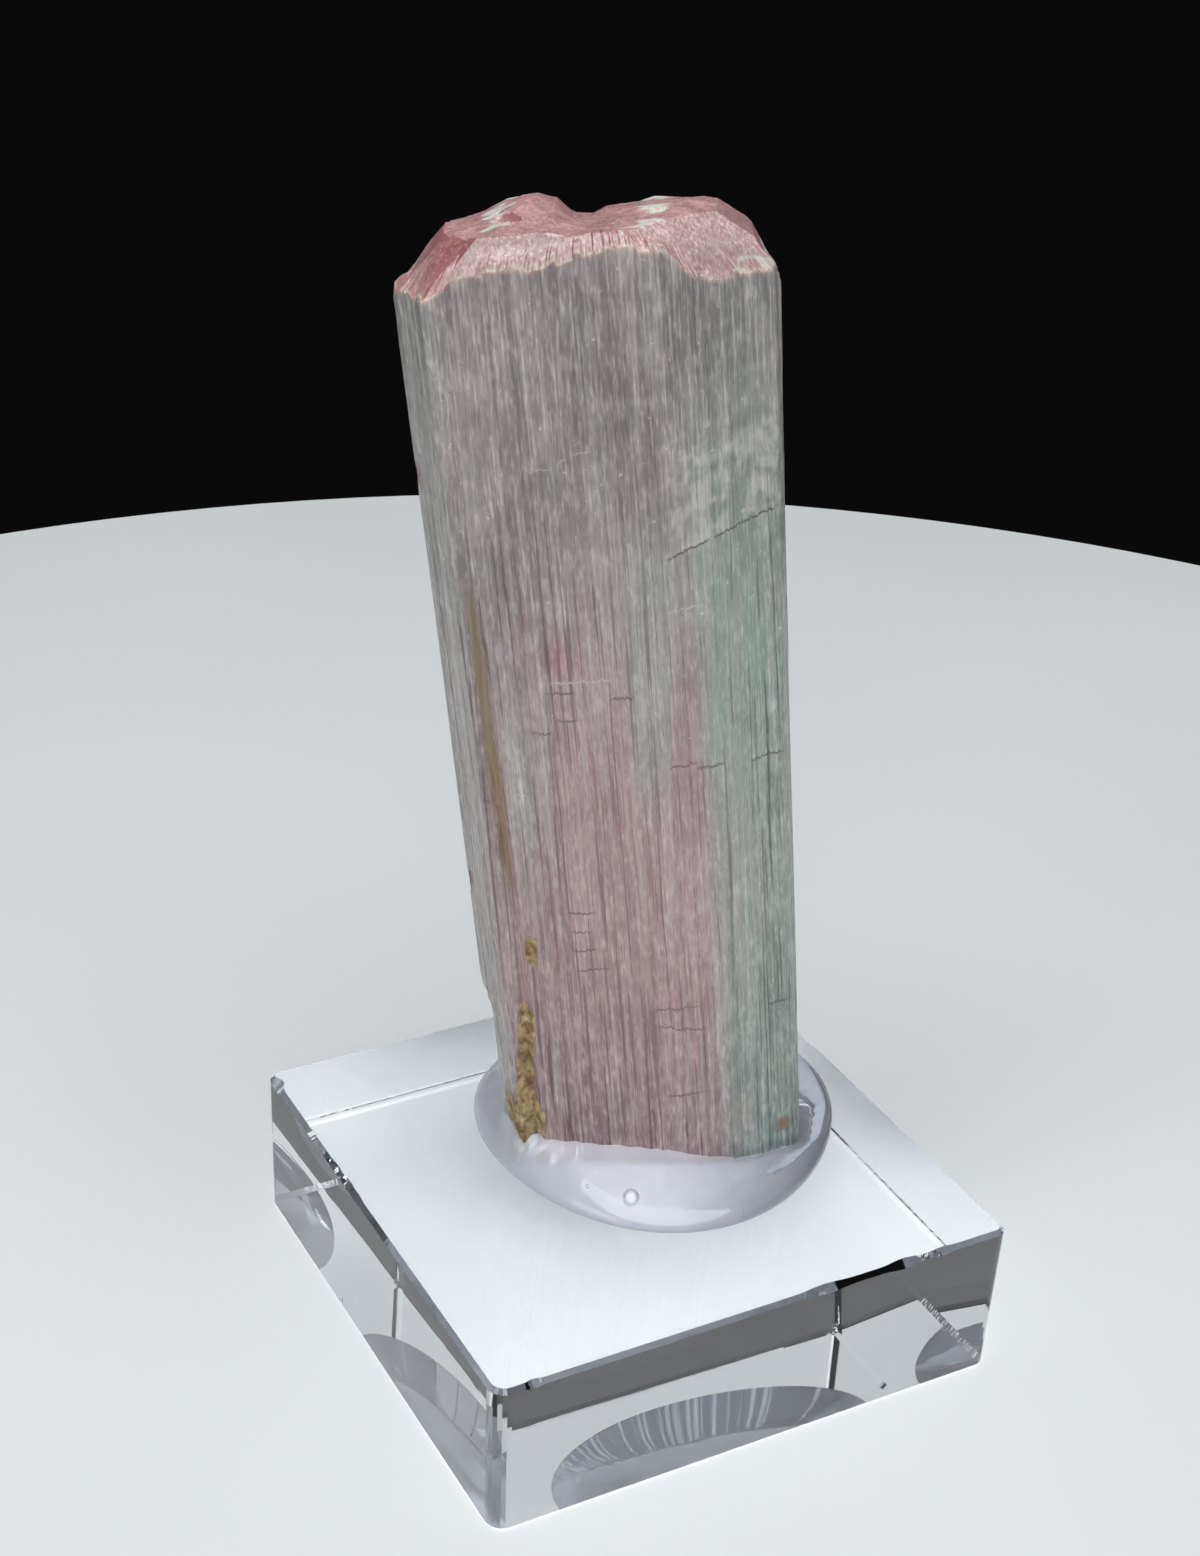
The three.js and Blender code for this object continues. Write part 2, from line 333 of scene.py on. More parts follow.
skin = np.zeros((WALL_ROWS + END_ROWS, COLUMNS, 3))
facing = np.zeros_like(skin)
for column, angle in enumerate(angles):
    away = level(angle)
    low_wall, _ = seen_from_outside(crystal_solid, Vector((0, 0, 3)), away)
    bottom = (foot_level - foot_up.x * low_wall.x - foot_up.y * low_wall.y) / foot_up.z + 0.02
    for row in range(WALL_ROWS):
        height = bottom + (SHOULDER - bottom) * row / WALL_ROWS
        middle = Vector((0, 0, height))
        skin[row, column], facing[row, column] = seen_from_outside(crystal_solid, middle, away)
    for row in range(END_ROWS):
        climb = STEEPEST * (row / (END_ROWS - 1)) ** 0.6
        upward = away * math.cos(climb) + Vector((0, 0, math.sin(climb)))
        place, normal = seen_from_outside(crystal_solid, Vector((0, 0, SHOULDER)), upward)
        skin[WALL_ROWS + row, column], facing[WALL_ROWS + row, column] = place, normal
skin[0, :, 2] -= FOOT_DEEPER
print("skin", skin.shape[0], "rows by", COLUMNS, "columns, girth", round(girth, 1), "mm")

# %% [markdown]
# ## Fine ridges
# Tourmaline grows in thin lengthwise steps. Each step here is a strip with its own place on the outline,
# width, length and height, and a few hundred of them overlap. Because every strip starts and stops at its
# own height, ridges fade in and out along the crystal as they do on a real one. The broken end gets
# small lumps in place of ridges.

# %% Raise the ridges
RIDGE_STRIPS = 420
RIDGE_RISE = 0.034
END_ROUGHNESS = 0.006
dice = np.random.default_rng(7)


def smooth_step(value, low, high):
    share = np.clip((value - low) / (high - low), 0, 1)
    return share * share * (3 - 2 * share)


heights = skin[:, :, 2]
ridges = np.zeros(heights.shape)
for _ in range(RIDGE_STRIPS):
    centre = dice.uniform(0, girth)
    half_width = dice.uniform(0.07, 0.34)
    low_end = dice.uniform(-20, 50)
    high_end = low_end + dice.uniform(6, 60)
    rise = RIDGE_RISE * dice.uniform(-1, 1)
    off = np.abs((outline_mm - centre + girth / 2) % girth - girth / 2)
    across = 1 - smooth_step(off, half_width * 0.75, half_width)
    along = smooth_step(heights, low_end, low_end + 1.5)
    along = along * (1 - smooth_step(heights, high_end - 1.5, high_end))
    ridges += rise * across[None, :] * along


def soft_noise(points, scale, seed):
    """A repeatable smooth noise from -1 to 1 at each point."""
    turned = points * scale + seed * np.array([3.1, 7.7, 5.3])
    waves = np.sin(turned @ np.array([1.7, 0.6, 0.9])) * np.sin(turned @ np.array([-0.5, 1.9, 0.7]))
    waves += np.sin(turned @ np.array([0.8, -0.9, 2.1]) + 2.0 * waves)
    return waves / 2


end_share = smooth_step(facing[:, :, 2], 0.15, 0.45)
lumps = soft_noise(skin, 3.1, 1) + 0.5 * soft_noise(skin, 8.3, 2)
away_flat = np.stack([np.cos(angles), np.sin(angles), np.zeros(COLUMNS)], axis=1)
skin = skin + away_flat[None, :, :] * (ridges * (1 - end_share))[:, :, None]
skin = skin + facing * (END_ROUGHNESS * lumps * end_share)[:, :, None]
print("ridges from", round(ridges.min(), 3), "to", round(ridges.max(), 3), "mm")

# %% [markdown]
# ## The ragged rim
# Where the prism walls stop below the end's facets, the edge isn't a clean line. Each ridge broke off at its
# own height. Every column has a first row that faces upward, and the skin around that point is lowered by
# a stepped random amount. How close a point is to the rim is kept too, for the finish.

# %% Break the rim
RIM_LINE = [
    (-9.0, 52.6), (-7.6, 53.2), (-6.5, 53.8), (-4.7, 54.15), (-3.0, 54.3), (-1.6, 54.5), (-0.4, 54.85),
    (2.1, 54.95), (3.7, 54.4), (4.6, 53.2), (5.5, 52.8), (7.2, 52.6), (9.0, 52.4),
]
RIM_STEPS = 90
RIM_DROP = 0.26
wall_rows = np.argmax(facing[:, :, 2] > 0.3, axis=0)
rim = skin[wall_rows, np.arange(COLUMNS)]
drop = np.zeros(COLUMNS)
for _ in range(RIM_STEPS):
    off = np.abs((outline_mm - dice.uniform(0, girth) + girth / 2) % girth - girth / 2)
    drop = np.maximum(drop, RIM_DROP * dice.uniform(0, 1) * (off < dice.uniform(0.1, 0.55)))
rim_across, rim_up = np.array(RIM_LINE).T
lift = np.clip(np.interp(rim[:, 0], rim_across, rim_up) - rim[:, 2], -1.2, 1.0) * (rim[:, 1] < -2.0)
rim_distance = np.linalg.norm(skin - rim[None, :, :], axis=2)
skin[:, :, 2] += (lift - drop)[None, :] * (1 - smooth_step(rim_distance, 0.2, 1.6))
rim_share = 1 - smooth_step(rim_distance, 0.03, 0.3)
print("rim lowered by up to", round(drop.max(), 2), "mm")

# %% [markdown]
# ## Clay in the groove
# Yellow-brown clay is left in the groove down the left of the front, with a plug half way and a lump at
# the foot. It is part of the crystal's surface, so the skin is lifted there in uneven mounds, and the
# finish below colours the same places.

# %% Lift the clay
CLAY_MOUNDS = [
    (-7.5, 4.2, 1.0, 2.2, 0.45),
    (-6.5, 4.6, 0.7, 0.9, 0.35),
    (-6.6, 9.6, 0.5, 2.4, 0.3),
    (-5.86, 15.9, 0.5, 1.1, 0.2),
    (-7.1, 24.5, 0.35, 5.0, 0.25),
    (-7.2, 34.5, 0.3, 4.0, 0.2),
]
front = smooth_step(-skin[:, :, 1], 2.0, 3.0)
for across, up, half_width, half_height, rise in CLAY_MOUNDS:
    distance = np.hypot((skin[:, :, 0] - across) / half_width, (skin[:, :, 2] - up) / half_height)
    mound = rise * (1 - smooth_step(distance, 0.3, 1.1)) * front
    mound *= 0.75 + 0.35 * soft_noise(skin, 5.0, 4)
    skin = skin + np.array([0, -1, 0]) * mound[:, :, None]
print("clay mounds", len(CLAY_MOUNDS))

# %% [markdown]
# ## Joining the skin into a mesh
# Each cell of the grid becomes one four-sided face. The last column joins the first, one point closes the
# middle of the end, and one closes the foot.

# %% Make the crystal's mesh
rows = skin.shape[0]
points = [to_scene @ Vector(p) for p in skin.reshape(-1, 3)]
faces = []
for row in range(rows - 1):
    for column in range(COLUMNS):
        beside = (column + 1) % COLUMNS
        low = row * COLUMNS
        faces.append((low + column, low + beside, low + COLUMNS + beside, low + COLUMNS + column))
end_middle = skin[-1].mean(axis=0)
foot_middle = skin[0].mean(axis=0)
points.append(to_scene @ Vector(end_middle))
points.append(to_scene @ Vector(foot_middle))
top_row = (rows - 1) * COLUMNS
for column in range(COLUMNS):
    beside = (column + 1) % COLUMNS
    faces.append((top_row + column, top_row + beside, len(points) - 2))
    faces.append((beside, column, len(points) - 1))
crystal = new_piece("crystal", points, faces)
end_faces = (end_share[:-1] > 0.5).reshape(-1)
crystal.data.polygons.foreach_set("use_smooth", [not flat for flat in end_faces] + [False] * (2 * COLUMNS))
rim_mask = crystal.data.attributes.new("rim", "FLOAT", "POINT")
rim_mask.data.foreach_set("value", np.append(rim_share.reshape(-1), [0.0, 0.0]))
end_mask = crystal.data.attributes.new("end", "FLOAT", "POINT")
end_mask.data.foreach_set("value", np.append(end_share.reshape(-1), [1.0, 0.0]))
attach(crystal, "root")
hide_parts("tourmaline_crystal")
print("crystal faces", len(faces))

# %% [markdown]
# ## The crystal's finish
# Light passes through tourmaline, so the finish is clear: full transmission with the mineral's own index
# of refraction, tinted where it enters. The colour zones follow the crystal's frame: mint green down the
# right face and the left edge, pink through the middle and strong pink at the end. Cloudy veils, clay and
# chipped white places aren't clear, and a second, solid shader is mixed in for them.

# %% Colour the crystal
TOURMALINE_IOR = 1.63

crystal_finish, start = new_finish("tourmaline")
place = start.node("ShaderNodeTexCoord", out="Object")
sockets = {"Vector": place, "Location": FOOT, "Rotation": LEAN, "Scale": (MM, MM, MM)}
grain = place.node("ShaderNodeMapping", {"vector_type": "TEXTURE"}, sockets)
across, deep, up = grain.parts()
rim_wire = start.node("ShaderNodeAttribute", {"attribute_name": "rim"}, {}, "Fac")
end_wire = start.node("ShaderNodeAttribute", {"attribute_name": "end"}, {}, "Fac")

broad = grain.stretched(1.0, 1.0, 0.25).noise(0.45, 1.0)
streaks = grain.stretched(1.0, 1.0, 0.025).noise(2.2, 2.0)
fine = grain.stretched(1.0, 1.0, 0.02).noise(7.5, 1.0)
dashes = grain.stretched(1.0, 1.0, 0.16).noise(7.0, 1.0, 0.6)
mottle = grain.stretched(1.0, 1.0, 0.7).noise(1.1, 2.0, 0.62)
gleam = grain.stretched(1.0, 1.0, 0.014).noise(5.2, 1.0)
wander = (broad - 0.5) * 3.0

PINK = colour(226, 190, 192)
DEEP_PINK = colour(214, 146, 154)
MAUVE = colour(200, 182, 188)
MINT = colour(200, 232, 220)
GREY_GREEN = colour(208, 216, 211)

mint_right = (across + wander * 0.3).rise(3.6, 5.0) * (up + wander * 2).rise(50.0, 36.0)
mint_left = (across + wander * 0.4).rise(-7.2, -8.2)
grey_right = (across + wander).rise(2.5, 5.0) * (up + wander).rise(36.0, 44.0)
lens_edge = (up - 30.0) * 0.1
lens = (across + wander * 0.2).rise(0.2 , 1.0) * (across + wander * 0.2 - lens_edge).rise(2.9, 2.2)
lens = lens * (up + wander).rise(22.0, 27.0) * (up + wander).rise(43.0, 37.0)
left_lens = (across + wander * 0.3).bump_at(-5.4, 1.6) * (up + wander * 2).bump_at(26.0, 9.0)
pink_spot = (across + wander * 0.4).bump_at(-2.8, 2.0) * (up + wander * 0.4).bump_at(33.6, 2.2)
pink_band = (across + wander).bump_at(-0.5, 5.0) * (up + wander).bump_at(23.5, 4.5)
pink_low = (across + wander * 0.3).rise(4.0, 3.2) * (up + wander * 2).rise(22.0, 12.0)

tint = (up + wander * 2.0).rise(24.0, 40.0).between(PINK, MAUVE)
tint = (pink_band * 0.45).between(tint, DEEP_PINK)
tint = (pink_low * 0.4).between(tint, DEEP_PINK)
tint = (lens * 0.85).between(tint, GREY_GREEN)
tint = (left_lens * 0.7).between(tint, GREY_GREEN)
tint = (grey_right * 0.8).between(tint, GREY_GREEN)
tint = (mint_left * 0.8).between(tint, GREY_GREEN)
tint = pink_spot.between(tint, DEEP_PINK)
tint = mint_right.between(tint, MINT)
tint = (streaks.rise(0.5, 0.7) * 0.3).between(tint, GREY_GREEN)
print("colour zones mixed")

# %% [markdown]
# ## Cracks
# Short cracks run level across the ridges, and one long crack climbs to the right with a bright veil above
# it. Each is a straight line on the crystal, given by its two ends, and the mask is 1 close to it.

# %% Draw the cracks
def line_mask(start_at, end_at, width):
    """1 on a straight line between two points of the front, given as across and up, in millimetres."""
    along = np.subtract(end_at, start_at)
    length = float(np.hypot(*along))
    right, rise = (along / length).tolist()
    ahead = (across - start_at[0]) * right + (up - start_at[1]) * rise
    aside = (up - start_at[1]) * right - (across - start_at[0]) * rise
    aside = aside + (fine - 0.5) * 0.35
    return aside.bump_at(0.0, width) * (ahead - length / 2).size().rise(length / 2, length / 2 - 0.5)


def spot_mask(centre, width, height):
    """1 in the middle of an uneven spot on the front, 0 outside it."""
    far_across = (across - centre[0]) / width
    far_up = (up - centre[1]) / height
    return (far_across * far_across + far_up * far_up + (mottle - 0.5) * 7.0).rise(1.0, 0.3)


LONG_CRACK = [
    ((2.6, 38.6), (5.2, 39.4), 0.1), ((5.0, 39.3), (8.6, 40.0), 0.1),
    ((0.5, 10.5), (3.6, 9.9), 0.1),
]
LEVEL_CRACKS = [
    (3.0, 26.8, 0.9, 0.1), (4.4, 26.4, 0.9, 0.13), (7.4, 25.9, 1.1, 0.1), (-3.0, 18.3, 0.9, 0.1),
    (-3.1, 17.1, 0.7, 0.08), (-2.9, 15.9, 0.8, 0.1), (-2.5, 14.6, 1.2, 0.09), (1.8, 11.6, 1.7, 0.09),
    (7.4, 9.9, 0.7, 0.12), (2.0, 5.7, 1.3, 0.09), (-3.0, 31.7, 0.9, 0.09), (0.1, 31.2, 0.7, 0.12),
    (-4.2, 29.4, 0.7, 0.08), (-2.8, 30.1, 0.7, 0.08),
]
# Painted highlights: LEVEL_GLINTS are short white level lines that stand in for light glinting in the
# crystal.
LEVEL_GLINTS = [
    (-1.8, 32.3, 2.2, 0.1), (3.7, 35.8, 1.4, 0.14),
    (-5.6, 25.7, 0.4, 0.14), (5.2, 41.3, 0.4, 0.25),
]
FIBRE = [
    ((-3.75, 44.1), (-2.3, 44.0), 0.08), ((-2.5, 44.0), (-1.5, 44.8), 0.08),
    ((-1.7, 44.75), (-0.2, 44.85), 0.08),
]
WHITE_SPOTS = [
    ((5.2, 45.4), 0.3, 0.25), ((5.3, 39.9), 0.25, 0.2),
    ((7.0, 40.2), 0.35, 0.25), ((7.2, 43.9), 0.2, 0.35),
]
wavy_up = up + (fine - 0.5) * 0.35


def level_mask(middle, height, half_length, width):
    """1 on a level line across the ridges, 0 away from it."""
    return wavy_up.bump_at(height, width) * (across - middle).size().rise(half_length, half_length * 0.5)


front_side = deep.rise(-1.0, -2.5)
dark_marks = [line_mask(*crack) for crack in LONG_CRACK] + [level_mask(*crack) for crack in LEVEL_CRACKS]
cracks = reduce(Wire.most, dark_marks) * front_side * (1 - end_wire)
# The white marks are a real fibre and real white flecks, together with the painted glints.
white_marks = [line_mask(*piece) for piece in FIBRE] + [level_mask(*glint) for glint in LEVEL_GLINTS]
white_marks += [spot_mask(*spot) for spot in WHITE_SPOTS]
fibre_flecks_and_glints = reduce(Wire.most, white_marks) * front_side * (1 - end_wire)
crack_line = up - 38.6 - (across - 2.6) * 0.25
above_crack = crack_line.rise(0.0, 0.3) * crack_line.rise(7.5, 3.0) * (across + wander * 0.5).rise(2.2, 3.4)
band_line = up - 43.8 + (across - 3.4) * 0.37
pale_band = band_line.rise(-0.05, 0.15) * band_line.rise(2.2, 0.8) * (across + wander * 0.4).rise(2.6, 3.6)
above_crack = (above_crack * 0.7).most(pale_band) * front_side
print("cracks", len(dark_marks), "white marks", len(white_marks))

# %% [markdown]
# ## Clay, veils and specks
# Clay colours the same mounds that were lifted above. The veil is the milkiness of countless tiny flaws: a
# thin haze over the whole crystal that follows the ridges. Specks are small broken spots that shine white.

# %% Place the clay and the veils
clay_noise = grain.noise(1.5, 2.0, 0.65)
clay_stripe = (across + 6.7 + (up - 20.0) * 0.028 + (streaks - 0.5) * 0.6).size().rise(0.5, 0.1)
clay_stripe = clay_stripe * up.rise(40.0, 36.0) * up.rise(18.0, 22.0) * front_side
clay_plug = across.bump_at(-5.86, 0.75) * up.bump_at(15.9, 1.7)
clay_run = (across + 7.1 - (up - 6.0) * 0.11).size().rise(0.8, 0.2)
clay_run = clay_run * up.rise(4.0, 6.5) * up.rise(13.0, 11.3)
clay_foot = across.bump_at(-7.2, 2.1) * up.bump_at(4.2, 3.4)
clay = (clay_plug * 1.15).most(clay_run * 0.95).most(clay_foot * 1.2)
clay = (clay * front_side + (clay_noise - 0.5) * 0.9).rise(0.36, 0.66)
stain = across.bump_at(7.4, 0.6) * up.bump_at(1.3, 0.8) * front_side
scuffed = across.bump_at(4.9, 1.5) * up.bump_at(3.2, 4.6) + (mottle - 0.5) * 1.6
scuffed = scuffed.rise(0.3, 0.8) * front_side

speck_places = grain.noise(2.7, 2.0).rise(0.69, 0.75) * mottle.rise(0.46, 0.6)
specks = speck_places * up.rise(10.0, 38.0) * (1 - end_wire)
haze = broad.rise(0.3, 0.75) * 0.14 + streaks.rise(0.35, 0.75) * 0.12 + fine.rise(0.45, 0.75) * 0.22
haze = haze + dashes.rise(0.45, 0.75) * 0.25 + mottle.rise(0.4, 0.7) * 0.16
THIN_VEIL = 0.25
veil = haze + up.rise(30.0, 48.0) * 0.12 + above_crack * mottle.rise(0.35, 0.6) * 0.25 + THIN_VEIL
# Painted highlights: thin white lines along the ridges, from the same gleam noise that raises the bump,
# stand in for light caught on the ridges' flanks.
ridge_painted_highlights = gleam.rise(0.6, 0.66) * (1 - end_wire)
# Painted shade: dark lines between the ridge highlights, strongest in the lower part of the crystal.
ridge_painted_shade = gleam.rise(0.4, 0.34) * (1 - end_wire) * up.rise(50.0, 32.0)
# A painted highlight: a white line down the edge between the front and right faces, added to the ridge
# highlights.
edge_painted_highlight = across.bump_at(3.85, 0.16) * up.bump_at(20.0, 13.0) * front_side
ridge_painted_highlights = ridge_painted_highlights.most(edge_painted_highlight)
forward = LEAN.to_matrix() @ Vector((0, -1, 0))
leftward = LEAN.to_matrix() @ Vector((-1, 0, 0))
normal = start.node("ShaderNodeNewGeometry", out="Normal")
faces_front = normal.toward(forward)
faces_left = normal.toward(leftward)
# Painted shade: the end facet that faces left is picked by its normal and given a darker pink for the shade
# it is in.
left_facet_painted_shade = faces_left.rise(0.35, 0.5) * end_wire * (across + wander * 0.3).rise(-8.2, -7.0)
frost = faces_front.rise(0.3, 0.5) * end_wire * (across + wander * 0.3).rise(-7.0, -6.2)
chalk_spread = across.bump_at(-4.2, 2.2).most(across.bump_at(3.0, 2.6)) * (1 - frost)
chalk_rim = across.rise(4.4, 5.6) * up.bump_at(52.3, 1.6)
chalk_noise = grain.stretched(0.6, 1.4, 1.4).noise(0.9, 1.0, 0.6) - 0.5
chalk = (chalk_spread.most(chalk_rim) + chalk_noise * 2.0).rise(0.8, 1.05) * end_wire
rim_wire = rim_wire * mottle.rise(0.38, 0.56)
# Marks that raise the solid share: real chalk, specks, cracks, scuffs and stains, and the painted ridge
# highlights, painted ridge shade and painted glints.
solid_marks_and_painted_light = [
    (ridge_painted_highlights, 0.5), (ridge_painted_shade, 0.3), (frost, 0.6), (chalk, 0.8), (specks, 0.9), (rim_wire, 0.85),
    (fibre_flecks_and_glints, 0.8), (cracks, 0.8), (scuffed, 0.45), (stain, 0.8), (clay_stripe, 0.6),
]
solid_share = veil
for mark, share in solid_marks_and_painted_light:
    solid_share = solid_share.most(mark * share)
solid_share = solid_share.most(clay)

WHITE = colour(236, 230, 224)
CREAM = colour(240, 224, 208)
solid_tone = (veil * 0.7).between(tint, WHITE)
# Painted highlights along the ridges and down the front-right edge.
solid_tone = (ridge_painted_highlights * 0.75).between(solid_tone, WHITE)
# Painted shade between the ridges.
solid_tone = (ridge_painted_shade * 0.7).between(solid_tone, colour(110, 88, 92))
solid_tone = (end_wire * 0.9).between(solid_tone, colour(228, 172, 174))
solid_tone = (frost * dashes.rise(0.3, 0.6)).between(solid_tone, colour(240, 210, 211))
# Painted shade on the left end facet.
solid_tone = (left_facet_painted_shade * 0.9).between(solid_tone, colour(206, 136, 140))
# White from specks, chalk, scuffs, the fibre and flecks, and the painted glints.
solid_tone = specks.most(chalk).most(scuffed * 0.7).most(fibre_flecks_and_glints).between(solid_tone, WHITE)
solid_tone = (rim_wire * 0.8).between(solid_tone, CREAM)
solid_tone = (cracks * 0.9).between(solid_tone, colour(70, 58, 60))
solid_tone = stain.between(solid_tone, colour(176, 118, 66))
clay_tone = clay_noise.rise(0.3, 0.7).between(colour(122, 94, 56), colour(206, 184, 136))
clay_tone = mottle.rise(0.56, 0.66).between(clay_tone, colour(226, 212, 176))
solid_tone = (clay_stripe * 0.9).between(solid_tone, colour(176, 154, 108))
solid_tone = clay.between(solid_tone, clay_tone)
end_pink = end_wire * across.rise(8.6, 5.5) * (across + wander * 0.3).rise(-8.4, -7.2)
tint = end_pink.between(tint, colour(222, 150, 156))
# Painted shade on the left end facet, in the clear shader's tint as well.
tint = left_facet_painted_shade.between(tint, colour(208, 124, 130))
print("veils and clay placed")

# %% [markdown]
# ## Two shaders, mixed
# The clear shader bends light with tourmaline's index of refraction and tints it as it passes. The cloudy
# one is solid. The inside absorbs a little, so thick places are darker than edges.

# %% Mix the crystal's shaders
relief = fine * 0.7 + gleam * 0.5
hollow = start.node("ShaderNodeBump", {}, {"Strength": 0.45, "Distance": 0.07 * MM, "Height": relief})
polish = streaks * 0.2 + 0.08 + specks * 0.3 + end_wire * 0.12

clear = start.node("ShaderNodeBsdfPrincipled", {}, {
    "Base Color": tint,
    "Roughness": polish,
    "IOR": TOURMALINE_IOR,
    "Transmission Weight": 1.0,
    "Normal": hollow,
})
cloudy = start.node("ShaderNodeBsdfPrincipled", {}, {
    "Base Color": solid_tone,
    "Roughness": clay * 0.45 + 0.35,
    "IOR": TOURMALINE_IOR,
    "Normal": hollow,
})
body = start.node("ShaderNodeMixShader", {}, {0: solid_share, 1: clear, 2: cloudy})
ABSORBED = colour(214, 190, 190)
inside = start.node("ShaderNodeVolumeAbsorption", {}, {"Color": ABSORBED, "Density": 45.0})
show(body, inside)
crystal.data.materials.append(crystal_finish)
print("crystal finish nodes", len(crystal_finish.node_tree.nodes))

# %% [markdown]
# ## The glue
# Hot-melt glue sets as a smooth puddle with a rounded rim. At the front it is a plain dome. On the right
# it was pulled down beside the crystal and its rim stands up as a lip. Two profiles, one for the dome and
# one for the lip, are blended as the outline goes round. Where glue meets crystal and block, the surfaces
# overlap by a few hundredths of a millimetre, so that light goes straight from one into the other.

# %% Make the glue's mesh
GLUE_COLUMNS = 288
GLUE_TALL = 2.0
OVERLAP = 0.05
DOME = [
    (0.0, 1.0), (0.25, 0.94), (0.5, 0.8), (0.7, 0.63),
    (0.86, 0.43), (0.96, 0.24), (1.0, 0.1), (0.985, 0.0),
]
LIP = [
    (0.0, 0.16), (0.25, 0.1), (0.45, 0.16), (0.62, 0.42),
    (0.8, 0.64), (0.96, 0.44), (1.0, 0.16), (0.985, 0.0),
]
LIP_HEADING = -22.0
LIP_SPREAD = 42.0

foot_mm = FOOT / MM
to_mm = Matrix.Scale(1 / MM, 4)
crystal_in_mm = search_tree("tourmaline_crystal", to_mm)
glue_in_mm = search_tree("glue_blob", to_mm)
TOP_MM = BLOCK_TOP / MM


def rounded(path, times):
    """The path with its corners cut a few times, which leaves a smooth curve with the same ends."""
    for _ in range(times):
        low = path[:-1] * 0.75 + path[1:] * 0.25
        high = path[:-1] * 0.25 + path[1:] * 0.75
        cut = np.stack([low, high], axis=1).reshape(-1, 2)
        path = np.concatenate([path[:1], cut, path[-1:]])
    return path


def wall_radius(tree, angle, height):
    centre = Vector((foot_mm.x, foot_mm.y, TOP_MM + height))
    place, _ = seen_from_outside(tree, centre, level(angle))
    return (place - centre).length


glue_rings = []
for angle in np.linspace(0, 2 * math.pi, GLUE_COLUMNS, endpoint=False):
    heading = math.degrees(angle) + 28.55
    turned = (heading - LIP_HEADING + 180) % 360 - 180
    lip = math.exp(-((turned / LIP_SPREAD) ** 2))
    profile = rounded(np.array(DOME) * (1 - lip) + np.array(LIP) * lip, 3)
    tall = GLUE_TALL * (1 + 0.08 * math.sin(math.radians(heading * 2)))
    rim = wall_radius(glue_in_mm, angle, 0.75)
    contact = wall_radius(crystal_in_mm, angle, max(0.7, profile[0][1] * tall))
    ring = [(0.0, 0.1)]
    for share in (0.0, 0.5):
        height = 0.1 + (profile[0][1] * tall - 0.1) * share
        ring.append((wall_radius(crystal_in_mm, angle, max(height, 0.7)) - OVERLAP, height))
    for outward, height in profile:
        radius = contact - OVERLAP + (rim - contact + OVERLAP) * outward
        ring.append((radius, height * tall - OVERLAP * (outward > 0.9) * (height < 0.02)))
    ring.append((0.0, -OVERLAP))
    out_x, out_y = math.cos(angle), math.sin(angle)
    glue_rings.append([(foot_mm.x + r * out_x, foot_mm.y + r * out_y, TOP_MM + z) for r, z in ring])

glue_rings = np.array(glue_rings) * MM
per_ring = glue_rings.shape[1]
glue_points = [tuple(p) for p in glue_rings[:, 1:-1].reshape(-1, 3)]
per_side = per_ring - 2
pocket_middle = len(glue_points)
glue_points.append(tuple(glue_rings[:, 0].mean(axis=0)))
glue_points.append(tuple(glue_rings[:, -1].mean(axis=0)))
glue_faces = []
for column in range(GLUE_COLUMNS):
    here = column * per_side
    beside = (column + 1) % GLUE_COLUMNS * per_side
    for step in range(per_side - 1):
        glue_faces.append((here + step, here + step + 1, beside + step + 1, beside + step))
    glue_faces.append((pocket_middle, here, beside))
    glue_faces.append((here + per_side - 1, pocket_middle + 1, beside + per_side - 1))
print("glue faces", len(glue_faces))

# %% [markdown]
# ## Bubbles
# A bubble is a hole in the glue, so it is a small ball whose faces point inward. It belongs to the same
# mesh: one glue surface with two sides, the outer skin and the wall of the bubble.

# %% Add the bubbles
BUBBLES = [((-2.68, -5.73, 10.75), 0.5), ((-3.54, -3.2, 11.0), 0.14), ((-4.4, -3.84, 10.8), 0.12)]
BALL_ROWS = 14
BALL_COLUMNS = 24

for centre, radius in BUBBLES:
    first = len(glue_points)
    for row in range(1, BALL_ROWS):
        tip = math.pi * row / BALL_ROWS
        for column in range(BALL_COLUMNS):
            spin = 2 * math.pi * column / BALL_COLUMNS
            ball = Vector((math.sin(tip) * math.cos(spin), math.sin(tip) * math.sin(spin), math.cos(tip)))
            glue_points.append(tuple((Vector(centre) + ball * radius) * MM))
    glue_points.append(tuple((Vector(centre) + Vector((0, 0, radius))) * MM))
    glue_points.append(tuple((Vector(centre) - Vector((0, 0, radius))) * MM))
    for column in range(BALL_COLUMNS):
        beside = (column + 1) % BALL_COLUMNS
        for row in range(BALL_ROWS - 2):
            here = first + row * BALL_COLUMNS
            above = here + BALL_COLUMNS
            glue_faces.append((here + column, here + beside, above + beside, above + column))
        last = first + (BALL_ROWS - 2) * BALL_COLUMNS
        glue_faces.append((first + beside, first + column, len(glue_points) - 2))
        glue_faces.append((last + column, last + beside, len(glue_points) - 1))
glue = new_piece("glue", glue_points, glue_faces)
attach(glue, "root")
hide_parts("glue_blob")
print("bubbles", len(BUBBLES))

# %% [markdown]
# ## The glue's finish
# Set glue is clear with a milky blue cast. A clear shader and a pale solid one are mixed. The solid share
# falls off towards the right of the picture, where the real glue is clearer.

# %% Colour the glue
GLUE_IOR = 1.48
PICTURE_RIGHT = (0.878, -0.478, 0)

